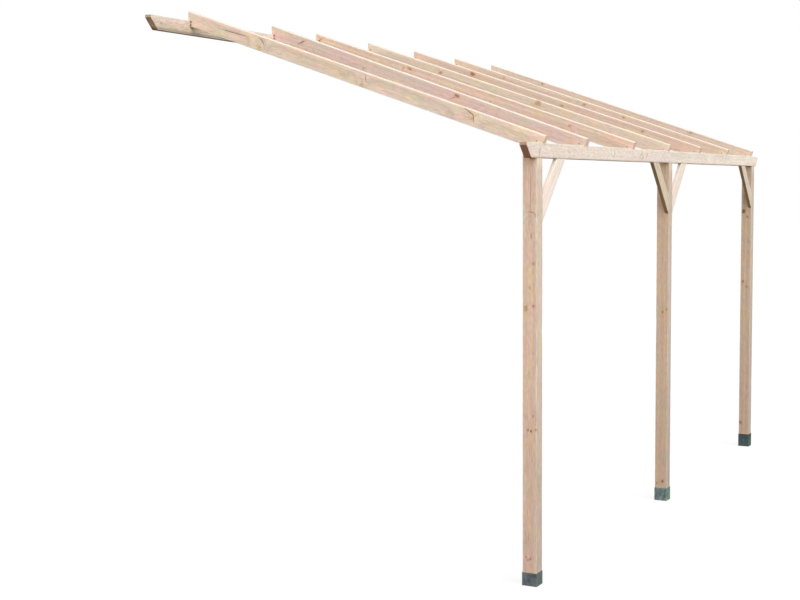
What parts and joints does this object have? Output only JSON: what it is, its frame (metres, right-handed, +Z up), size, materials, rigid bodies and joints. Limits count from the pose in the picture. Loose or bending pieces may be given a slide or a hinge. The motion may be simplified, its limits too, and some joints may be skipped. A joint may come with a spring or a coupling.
{
  "type": "lean-to carport frame",
  "caption": "Open timber lean-to carport frame: posts on steel shoes carry an eaves beam, and notched rafters rise from it to a wall ledger.",
  "frame": {"origin": "middle of the ledger's wall face", "axes": "+X along the eaves, to the right seen from the posts' side; +Y out of the ledger's wall face, into the wall; +Z up"},
  "size_m": [5.856, 2.5895, 3.5727],
  "materials": {
    "timber": "planed softwood",
    "pale_timber": "planed softwood in full daylight",
    "shoe_steel": "dark grey, satin"
  },
  "bodies": {
    "root": {"post_1": "timber", "post_2": "timber", "post_3": "timber", "post_shoe_1": "shoe_steel", "post_shoe_2": "shoe_steel", "post_shoe_3": "shoe_steel", "eaves_beam_left": "pale_timber", "eaves_beam_right": "pale_timber", "ledger": "timber", "rafter_1": "timber", "rafter_2": "timber", "rafter_3": "timber", "rafter_4": "timber", "rafter_5": "timber", "rafter_6": "timber", "rafter_7": "timber", "brace_1_right": "timber", "brace_2_left": "timber", "brace_2_right": "timber", "brace_3_left": "timber"}
  },
  "joints": []
}
